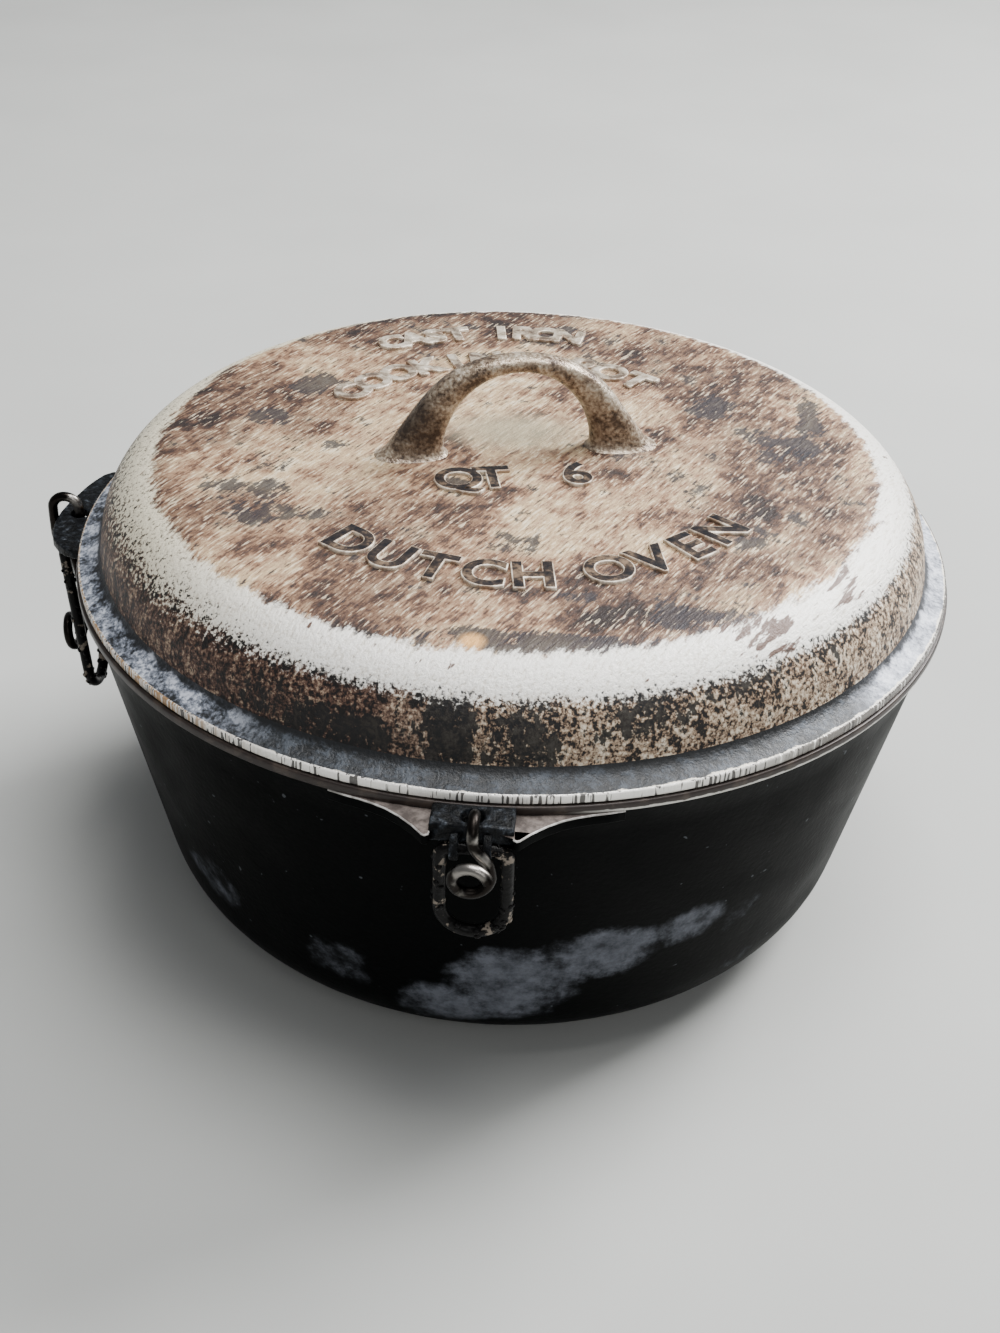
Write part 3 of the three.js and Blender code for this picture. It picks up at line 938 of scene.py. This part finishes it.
def lid_profile(lid_r, wall):
    """The lid's section, from the middle of the underside, out to the edge and back over the top."""
    seat = RIM_Z + SEAT_GAP
    edge = seat + EDGE_THICK
    ring = LID_FOOT_R - wall
    points = [(r, crown_z(r) - wall, TOP) for r in np.linspace(0, SHOULDER_MID_R, 8)[:-1]]
    points += arc(SHOULDER_MID_R, SHOULDER_MID_Z, SHOULDER_R - wall, 90, 9.5, 14, TOP)
    points += [
        (ring, 128.4, TOP),
        (ring - 0.4, seat - 4.6, TOP),
        (ring - 0.1, seat - 5.3, TOP),
        (ring + 0.4, seat - 5.5, TOP),
        (ring + 2.4, seat - 5.5, TOP),
        (ring + 3.0, seat - 5.1, TOP),
        (ring + 3.2, seat - 4.4, TOP),
        (ring + 3.2, seat - 0.3, TOP),
        (ring + 3.5, seat, FLANGE),
        (lid_r - 0.5, seat, BRIGHT),
        (lid_r - 0.15, seat + 0.12, BRIGHT),
        (lid_r, seat + 0.5, BRIGHT),
        (lid_r, edge - 0.6, BRIGHT),
        (lid_r - 0.15, edge - 0.2, BRIGHT),
        (lid_r - 0.6, edge, FLANGE),
        (lid_r - 2.2, edge + 0.45, FLANGE),
        (lid_r - 4.0, edge + 1.1, FLANGE),
        (lid_r - 5.6, edge + 2.0, FLANGE),
        (lid_r - 6.8, edge + 3.0, FLANGE),
        (LID_FOOT_R, 129.4, TOP),
        (133.75, 130.9, TOP),
        (133.5, 132.4, TOP),
    ]
    points += arc(SHOULDER_MID_R, SHOULDER_MID_Z, SHOULDER_R, 9.5, 90, 24, TOP)
    points += [(r, crown_z(r), TOP) for r in np.linspace(SHOULDER_MID_R, 0, 12)[1:]]
    return points


GRIP_OUTER = [
    (44.0, 0.0),
    (40.4, 5.0),
    (36.6, 10.4),
    (32.8, 15.8),
    (28.6, 21.0),
    (23.4, 25.8),
    (16.8, 29.6),
    (8.8, 32.1),
    (0.0, 32.8),
]


def grip(height):
    """The loop grip: a strap that is a flattened oval at its crown and spreads into wide feet, with a
    small cast fillet where each foot meets the lid."""
    side = smooth_path([(x, y, 0) for x, y in GRIP_OUTER], 3)[:, :2]
    inner = []
    for k in range(len(side)):
        a = math.pi / 2 * k / (len(side) - 1)
        inner.append((24.0 * math.cos(a), 27.6 * math.sin(a)))
    inner = np.array(inner)
    stretch = height / GRIP_OUTER[-1][1]
    half = [(o * (1, stretch), i * (1, stretch)) for o, i in zip(side, inner)]
    whole = half + [(o * (-1, 1), i * (-1, 1)) for o, i in reversed(half[:-1])]
    base = crown_z(0) - 0.15
    rings = []
    steps = 28
    for k, (o, i) in enumerate(whole):
        mid = (o + i) / 2
        arm = (o - i) / 2
        foot = min(k, len(whole) - 1 - k) / (len(half) - 1)
        depth = 4.2 + 0.9 * (1 - foot) ** 2
        rings.append((mid, arm, depth))
    low = []
    for drop, spread in ((-2.2, 2.6), (-0.4, 2.4), (0.1, 1.7), (0.6, 1.0), (1.3, 0.45), (2.2, 0.1)):
        o, i = whole[0]
        t = max(0.0, drop) / GRIP_OUTER[1][1]
        o = o + (whole[3][0] - o) * t
        i = i + (whole[3][1] - i) * t * 0.55
        mid = np.array([(o[0] + i[0]) / 2, drop])
        low.append((mid, np.array([(o[0] - i[0]) / 2 + spread, 0.0]), 5.1 + spread))
    far = [(mid * (-1, 1), arm * (-1, 1), depth) for mid, arm, depth in reversed(low)]
    rings = low + rings[3:-3] + far
    verts, faces = [], []
    for mid, arm, depth in rings:
        for s in range(steps):
            a = 2 * math.pi * s / steps
            u = np.sign(math.cos(a)) * abs(math.cos(a)) ** 0.78
            v = np.sign(math.sin(a)) * abs(math.sin(a)) ** 0.78
            p = mid + arm * u
            x, y, z = p[0], depth * v, base + p[1]
            verts.append((x, y, z))
    for k in range(len(rings) - 1):
        for s in range(steps):
            n = (s + 1) % steps
            row, nxt = k * steps, (k + 1) * steps
            faces.append([row + s, row + n, nxt + n, nxt + s])
    faces.append(list(range(steps)))
    faces.append([len(verts) - steps + s for s in reversed(range(steps))])
    verts = turned(verts, GRIP_YAW).tolist()
    return verts, outward(verts, faces), GRIP


def build_lid():
    s = sizes()
    c = colours()
    materials = [lid_iron(), ground_iron(), machined_edge("turned_bright_lid_edge", c.edge), grip_iron()]
    shell = lathe(lid_profile(s.lid_radius / MM, s.lid_wall / MM), AROUND)
    parts = [shell, grip(s.grip_height / MM)]
    verts, faces, slots = merge(parts)
    obj = new_object("lid_casting", verts, faces, materials, slots)
    settle(obj, "lid", replaced="lid")


def letter(text, height, relief):
    """One raised letter as points and faces, centred on its own middle."""
    curve = bpy.data.curves.new("letter", "FONT")
    curve.body = text
    curve.size = height / 0.7  # the capitals are 0.7 of the font's size
    curve.align_x = "CENTER"
    curve.offset = 0.5
    curve.extrude = relief / 2
    curve.bevel_depth = 0.4
    curve.bevel_resolution = 2
    obj = bpy.data.objects.new("letter", curve)
    bpy.context.scene.collection.objects.link(obj)
    made = bpy.data.meshes.new_from_object(obj.evaluated_get(bpy.context.evaluated_depsgraph_get()))
    verts = [(v.co.x, v.co.y - height / 2, v.co.z) for v in made.vertices]
    faces = [list(p.vertices) for p in made.polygons]
    bpy.data.objects.remove(obj)
    bpy.data.meshes.remove(made)
    bpy.data.curves.remove(curve)
    return weld(verts, faces)


# text, radius, first letter's direction, step, extra step at a space, height share, tops point outward
LETTER_ARCS = [
    ("DUTCH OVEN", 78.5, -34.0, 10.4, -4.4, 1.0, False),
    ("CAST IRON", 92.0, -33.0, 5.1, 0.0, 0.78, True),
    ("COOKING POT", 68.0, -60.0, 9.4, 0.0, 0.85, True),
]
LETTER_ROW = [("Q", -20.9), ("T", -10.2), ("6", 16.5)]


def build_lettering():
    s = sizes()
    height, relief = s.letter_height / MM, s.letter_relief / MM
    parts = []

    def stamp(text, x, y, turn, tall):
        verts, faces = letter(text, tall, relief)
        a = math.radians(turn)
        out = []
        for px, py, pz in verts:
            gx = x + px * math.cos(a) - py * math.sin(a)
            gy = y + px * math.sin(a) + py * math.cos(a)
            out.append((gx, gy, crown_z(math.hypot(gx, gy)) + pz + 0.15))
        parts.append((out, faces, by_facing(verts, faces, 0, 1, 1)))

    for text, radius, start, step, gap, share, arched in LETTER_ARCS:
        angle = start
        for char in text:
            if char == " ":
                angle += step + gap
                continue
            a = math.radians(angle)
            if arched:
                stamp(char, radius * math.sin(a), radius * math.cos(a), -angle, height * share)
            else:
                stamp(char, radius * math.sin(a), -radius * math.cos(a), angle, height * share)
            angle += step
    yaw = math.radians(GRIP_YAW)
    for char, along in LETTER_ROW:
        x = 3.9 + along * math.cos(yaw)
        y = -19.6 + along * math.sin(yaw)
        stamp(char, x, y, GRIP_YAW, height)
    verts, faces, slots = merge(parts)
    # the letters' bevels: rubbed pale iron with a painted highlight
    rubbed = wear_and_highlight_skin("letter_bevels_rubbed_with_painted_highlight", hex_rgb("8a735f"), hex_rgb("e8ddca"))
    obj = new_object("lid_lettering", verts, faces, [letter_face(), rubbed], slots)
    settle(obj, "lid")


# ---------------------------------------------------------------- hooks and loops


def sweep_tree():
    """Geometry Nodes: sweeps a round bar along a curve and sets rounded lumps along it at random."""
    tree = bpy.data.node_groups.new("bar_along_path", "GeometryNodeTree")
    face = tree.interface
    for label, kind, value in (
        ("Geometry", "NodeSocketGeometry", None),
        ("Bar Radius", "NodeSocketFloat", 0.002),
        ("Sides", "NodeSocketInt", 20),
        ("Lump Count", "NodeSocketInt", 0),
        ("Lump Radius", "NodeSocketFloat", 0.001),
        ("Seed", "NodeSocketInt", 1),
        ("Material", "NodeSocketMaterial", None),
    ):
        item = face.new_socket(name=label, in_out="INPUT", socket_type=kind)
        if value is not None:
            item.default_value = value
    face.new_socket(name="Geometry", in_out="OUTPUT", socket_type="NodeSocketGeometry")
    given = add(tree, "NodeGroupInput")
    ring = add(
        tree,
        "GeometryNodeCurvePrimitiveCircle",
        {"Resolution": given.outputs["Sides"], "Radius": given.outputs["Bar Radius"]},
    )
    bar = add(
        tree,
        "GeometryNodeCurveToMesh",
        {"Curve": given.outputs["Geometry"], "Profile Curve": ring.outputs[0], "Fill Caps": True},
    )
    spots = add(
        tree,
        "GeometryNodeDistributePointsOnFaces",
        {"Mesh": bar, "Density": 60000.0, "Seed": given.outputs["Seed"]},
    )
    order = add(tree, "GeometryNodeInputIndex")
    extra = add(
        tree,
        "FunctionNodeCompare",
        {2: order.outputs[0], 3: given.outputs["Lump Count"]},
        data_type="INT",
        operation="GREATER_EQUAL",
    )
    few = add(tree, "GeometryNodeDeleteGeometry", {"Geometry": spots, "Selection": extra.outputs[0]})
    ball = add(
        tree, "GeometryNodeMeshIcoSphere", {"Radius": given.outputs["Lump Radius"], "Subdivisions": 3}
    )
    size = add(
        tree,
        "FunctionNodeRandomValue",
        {0: (0.6, 0.6, 0.45), 1: (1.25, 1.1, 0.7), "Seed": given.outputs["Seed"]},
        data_type="FLOAT_VECTOR",
    )
    lumps = add(
        tree,
        "GeometryNodeInstanceOnPoints",
        {
            "Points": few,
            "Instance": ball.outputs["Mesh"],
            "Rotation": spots.outputs["Rotation"],
            "Scale": size.outputs[0],
        },
    )
    both = add(tree, "GeometryNodeJoinGeometry")
    tree.links.new(bar.outputs[0], both.inputs[0])
    tree.links.new(lumps.outputs[0], both.inputs[0])
    real = add(tree, "GeometryNodeRealizeInstances", {"Geometry": both})
    smooth = add(tree, "GeometryNodeSetShadeSmooth", {"Geometry": real})
    painted = add(
        tree, "GeometryNodeSetMaterial", {"Geometry": smooth, "Material": given.outputs["Material"]}
    )
    add(tree, "NodeGroupOutput", {0: painted})
    return tree


def swept(name, path, closed, settings, material):
    """A plain mesh piece from a path in millimetres, through the node tree above."""
    tree = bpy.data.node_groups.get("bar_along_path") or sweep_tree()
    curve = bpy.data.curves.new(name, "CURVE")
    curve.dimensions = "3D"
    curve.twist_mode = "MINIMUM"
    spline = curve.splines.new("POLY")
    spline.points.add(len(path) - 1)
    for point, place in zip(spline.points, path):
        point.co = (*(np.asarray(place) * MM), 1)
    spline.use_cyclic_u = closed
    carrier = bpy.data.objects.new(name + "_path", curve)
    bpy.context.scene.collection.objects.link(carrier)
    modifier = carrier.modifiers.new("bar", "NODES")
    modifier.node_group = tree
    sockets = {i.name: i.identifier for i in tree.interface.items_tree if i.in_out == "INPUT"}
    for label, value in {**settings, "Material": material}.items():
        modifier[sockets[label]] = value
    bpy.context.view_layer.update()
    depsgraph = bpy.context.evaluated_depsgraph_get()
    mesh = bpy.data.meshes.new_from_object(carrier.evaluated_get(depsgraph))
    mesh.name = name
    carrier.modifiers.remove(modifier)
    bpy.data.objects.remove(carrier)
    bpy.data.curves.remove(curve)
    obj = bpy.data.objects.new(name, mesh)
    bpy.context.scene.collection.objects.link(obj)
    return obj


WIRE_X = 0.7
ARCH_R = 4.5
ARCH_Z_LONG, ARCH_Z_SHORT = 1.6, -2.2  # the arch's middle, from the rim's top
COIL_MID, COIL_R, COIL_PITCH = 0.8, 5.1, 4.8
COIL_DROP = {"front": 13.0, "left": 47.5, "back": 13.0}
LOOP_TALL = {"front": 35.3, "left": 62.2, "back": 35.3}
LOOP_HALF, LOOP_SHIFT, LOOP_LEAN, LOOP_CORNER = 11.2, 0.8, 4.3, 3.3
WIRE_WORN, LOOP_WORN = 0.96, 0.97  # worn thickness as a share of the full one
LONG_HOOK = 30  # a hook that hangs lower than this has a long shank


def hook_path(drop):
    """Up through the ear's hole, over its outer edge, down, and round into a coiled eye."""
    middle = HOLE_R + ARCH_R
    long = drop > LONG_HOOK
    arch_z = ARCH_Z_LONG if long else ARCH_Z_SHORT
    points = [(WIRE_X, HOLE_R, -6.4), (WIRE_X, HOLE_R, -3.6)]
    for a in np.linspace(math.pi, 0, 9):
        points.append((WIRE_X, middle + ARCH_R * math.cos(a), arch_z + ARCH_R * math.sin(a)))
    if long:
        points += [
            (0.7, middle + 4.5, -6.0),
            (0.5, middle + 4.3, -9.5),
            (-0.2, middle + 2.7, -14.0),
            (-1.1, middle - 0.2, -19.0),
            (-2.5, middle - 0.8, -27.0),
            (COIL_MID - COIL_R, middle - 0.6, -35.0),
            (COIL_MID - COIL_R, middle, -41.0),
        ]
        start, first, way = 151.0, 180, 1
    else:
        points += [(1.5, 155.5, -4.2), (3.1, 155.6, -6.4), (5.0, 155.6, -9.0)]
        start, first, way = 155.7, 0, -1
    for a in range(0, 341, 20):
        turn = math.radians(first + way * a)
        out = start + a / 360 * COIL_PITCH
        points.append((COIL_MID + COIL_R * math.cos(turn), out, -drop + COIL_R * math.sin(turn)))
    return smooth_path([(t, -r, RIM_Z + z) for t, r, z in points], 5)


def build_hooks():
    material = wire_steel()
    settings = {"Bar Radius": sizes().wire / 2 * WIRE_WORN, "Sides": 22}
    for ear, turn in EARS.items():
        path = turned(hook_path(COIL_DROP[ear]), turn)
        obj = swept(ear + "_wire_hook", path, False, settings, material)
        settle(obj, ear + "_hook", replaced=ear + "_hook")


def loop_path(tall, bar):
    """The middle line of an oval loop: squarish at its hinge bar and round at the bottom."""
    half = LOOP_HALF - bar / 2
    low = bar / 2 - (tall - bar / 2)
    corner = LOOP_CORNER
    points = []
    for a in np.linspace(90, 0, 7):
        a = math.radians(a)
        points.append((half - corner + corner * math.cos(a), -corner + corner * math.sin(a)))
    points += [(half, h) for h in np.linspace(-corner, low + half, 12)[1:-1]]
    for a in np.linspace(0, -180, 25):
        a = math.radians(a)
        points.append((half * math.cos(a), low + half + half * math.sin(a)))
    points += [(-half, h) for h in np.linspace(low + half, -corner, 12)[1:-1]]
    for a in np.linspace(180, 90, 7):
        a = math.radians(a)
        points.append((-half + corner + corner * math.cos(a), -corner + corner * math.sin(a)))
    lean = math.radians(LOOP_LEAN)
    placed = []
    for x, h in points:
        out = HINGE_R + h * math.sin(lean)
        placed.append((x + LOOP_SHIFT, -out, RIM_Z - HINGE_DROP + h * math.cos(lean)))
    return np.array(placed)


def build_loops():
    bar = sizes().loop_bar
    material = loop_iron()
    for seed, (ear, turn) in enumerate(EARS.items()):
        path = turned(loop_path(LOOP_TALL[ear], bar / MM), turn)
        settings = {
            "Bar Radius": bar / 2 * LOOP_WORN,
            "Sides": 18,
            "Lump Count": 60 if ear == "left" else 46,
            "Lump Radius": 0.0009,
            "Seed": seed + 3,
        }
        obj = swept(ear + "_oval_loop", path, True, settings, material)
        settle(obj, ear + "_loop", replaced=ear + "_loop")


def settle(obj, body, replaced=None):
    """Hands a finished piece to the frame."""
    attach(obj, body)
    if replaced:
        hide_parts(replaced)


# ---------------------------------------------------------------- stage


def area_light(name, place, aim, size, power, tint=(1, 1, 1)):
    light = bpy.data.lights.new(name, "AREA")
    light.shape = "RECTANGLE"
    light.size, light.size_y = size
    light.energy = power
    light.color = tint
    obj = bpy.data.objects.new(name, light)
    obj.location = place
    obj.rotation_euler = (Vector(aim) - Vector(place)).to_track_quat("-Z", "Y").to_euler()
    bpy.context.scene.collection.objects.link(obj)


FLOOR_HALF, FLOOR_GAP = 40000, 0.4  # wide enough to end at the horizon, and just clear of the base


def build_stage():
    x, y, z = FLOOR_HALF, FLOOR_HALF, -FLOOR_GAP
    corners = [(-x, -y, z), (x, -y, z), (x, y, z), (-x, y, z)]
    floor = new_object("floor", corners, [[0, 1, 2, 3]], [plain_floor()], smooth=False)
    world = bpy.data.worlds.new("soft_daylight")
    world.use_nodes = True
    back = world.node_tree.nodes["Background"]
    back.inputs["Color"].default_value = hex_rgb("e3e6ea")
    back.inputs["Strength"].default_value = 0.33
    bpy.context.scene.world = world
    area_light("window", (1.15, 0.9, 1.3), (0, 0, 0.1), (0.8, 0.7), 84)
    area_light("fill", (0.7, -1.9, 1.5), (0, 0, 0.1), (1.2, 1.0), 11)
    area_light("overhead", (0.25, 0.0, 2.2), (0, 0, 0.1), (1.2, 1.0), 56)


def build_camera():
    """A camera above the front, a little to the right, rolled slightly."""
    distance, height, turn = 0.5998, 0.124, math.radians(3.1)
    tilt = math.radians(29.903)
    eye = Vector((0, -distance * math.cos(tilt), distance * math.sin(tilt)))
    ahead = -eye.normalized()
    right = Vector((1, 0, 0))
    up = right.cross(ahead)
    axes = Matrix((right, -up, ahead))
    roll = Matrix.Rotation(math.radians(2.155), 3, "Z")
    pitch = Matrix.Rotation(math.radians(4.180), 3, "X")
    yaw = Matrix.Rotation(math.radians(0.418), 3, "Y")
    look = yaw @ pitch @ roll @ axes
    around = Matrix.Rotation(turn, 3, "Z")
    columns = (around @ look[0], around @ -look[1], around @ -look[2])
    data = bpy.data.cameras.new("camera")
    data.lens = 48.61
    data.sensor_width = 36
    data.sensor_fit = "AUTO"
    data.clip_start = 0.01
    camera = bpy.data.objects.new("camera", data)
    place = around @ eye + Vector((0, 0, height))
    pose = Matrix(columns).transposed().to_4x4()
    pose.translation = place
    camera.matrix_world = pose
    bpy.context.scene.collection.objects.link(camera)
    bpy.context.scene.camera = camera


# ---------------------------------------------------------------- operators and panel


class DUTCHOVEN_OT_pot(bpy.types.Operator):
    """Build the pot casting with its three ears"""

    bl_idname = "dutch_oven.pot"
    bl_label = "Pot"

    def execute(self, context):
        build_pot()
        return {"FINISHED"}


class DUTCHOVEN_OT_lid(bpy.types.Operator):
    """Build the lid casting with its loop grip"""

    bl_idname = "dutch_oven.lid"
    bl_label = "Lid"

    def execute(self, context):
        build_lid()
        return {"FINISHED"}


class DUTCHOVEN_OT_lettering(bpy.types.Operator):
    """Build the raised lettering on the lid"""

    bl_idname = "dutch_oven.lettering"
    bl_label = "Lettering"

    def execute(self, context):
        build_lettering()
        return {"FINISHED"}


class DUTCHOVEN_OT_hooks(bpy.types.Operator):
    """Build the wire hooks on the ears"""

    bl_idname = "dutch_oven.hooks"
    bl_label = "Wire hooks"

    def execute(self, context):
        build_hooks()
        return {"FINISHED"}


class DUTCHOVEN_OT_loops(bpy.types.Operator):
    """Build the oval loops under the ears"""

    bl_idname = "dutch_oven.loops"
    bl_label = "Oval loops"

    def execute(self, context):
        build_loops()
        return {"FINISHED"}


class DUTCHOVEN_OT_stage(bpy.types.Operator):
    """Build the floor, lights and camera"""

    bl_idname = "dutch_oven.stage"
    bl_label = "Stage"

    def execute(self, context):
        build_camera()
        build_stage()
        return {"FINISHED"}


OPERATORS = (
    DUTCHOVEN_OT_stage,
    DUTCHOVEN_OT_pot,
    DUTCHOVEN_OT_lid,
    DUTCHOVEN_OT_lettering,
    DUTCHOVEN_OT_hooks,
    DUTCHOVEN_OT_loops,
)


class DUTCHOVEN_PT_panel(bpy.types.Panel):
    """Sizes, colours and build steps of the dutch oven"""

    bl_label = "Dutch oven"
    bl_idname = "DUTCHOVEN_PT_panel"
    bl_space_type = "VIEW_3D"
    bl_region_type = "UI"
    bl_category = "Dutch oven"

    def draw(self, context):
        for group in (context.scene.dutch_oven_sizes, context.scene.dutch_oven_colours):
            box = self.layout.box()
            for key in group.bl_rna.properties.keys():
                if key not in ("rna_type", "name"):
                    box.prop(group, key)
        for operator in OPERATORS:
            self.layout.operator(operator.bl_idname)


CLASSES = (DutchOvenSizes, DutchOvenColours, *OPERATORS, DUTCHOVEN_PT_panel)


def register():
    for cls in CLASSES:
        bpy.utils.register_class(cls)
    bpy.types.Scene.dutch_oven_sizes = bpy.props.PointerProperty(type=DutchOvenSizes)
    bpy.types.Scene.dutch_oven_colours = bpy.props.PointerProperty(type=DutchOvenColours)


def unregister():
    del bpy.types.Scene.dutch_oven_colours
    del bpy.types.Scene.dutch_oven_sizes
    for cls in reversed(CLASSES):
        bpy.utils.unregister_class(cls)


def main():
    register()
    for step in ("stage", "pot", "lid", "lettering", "hooks", "loops"):
        getattr(bpy.ops.dutch_oven, step)()
    bpy.context.view_layer.update()


if __name__ == "__main__":
    main()
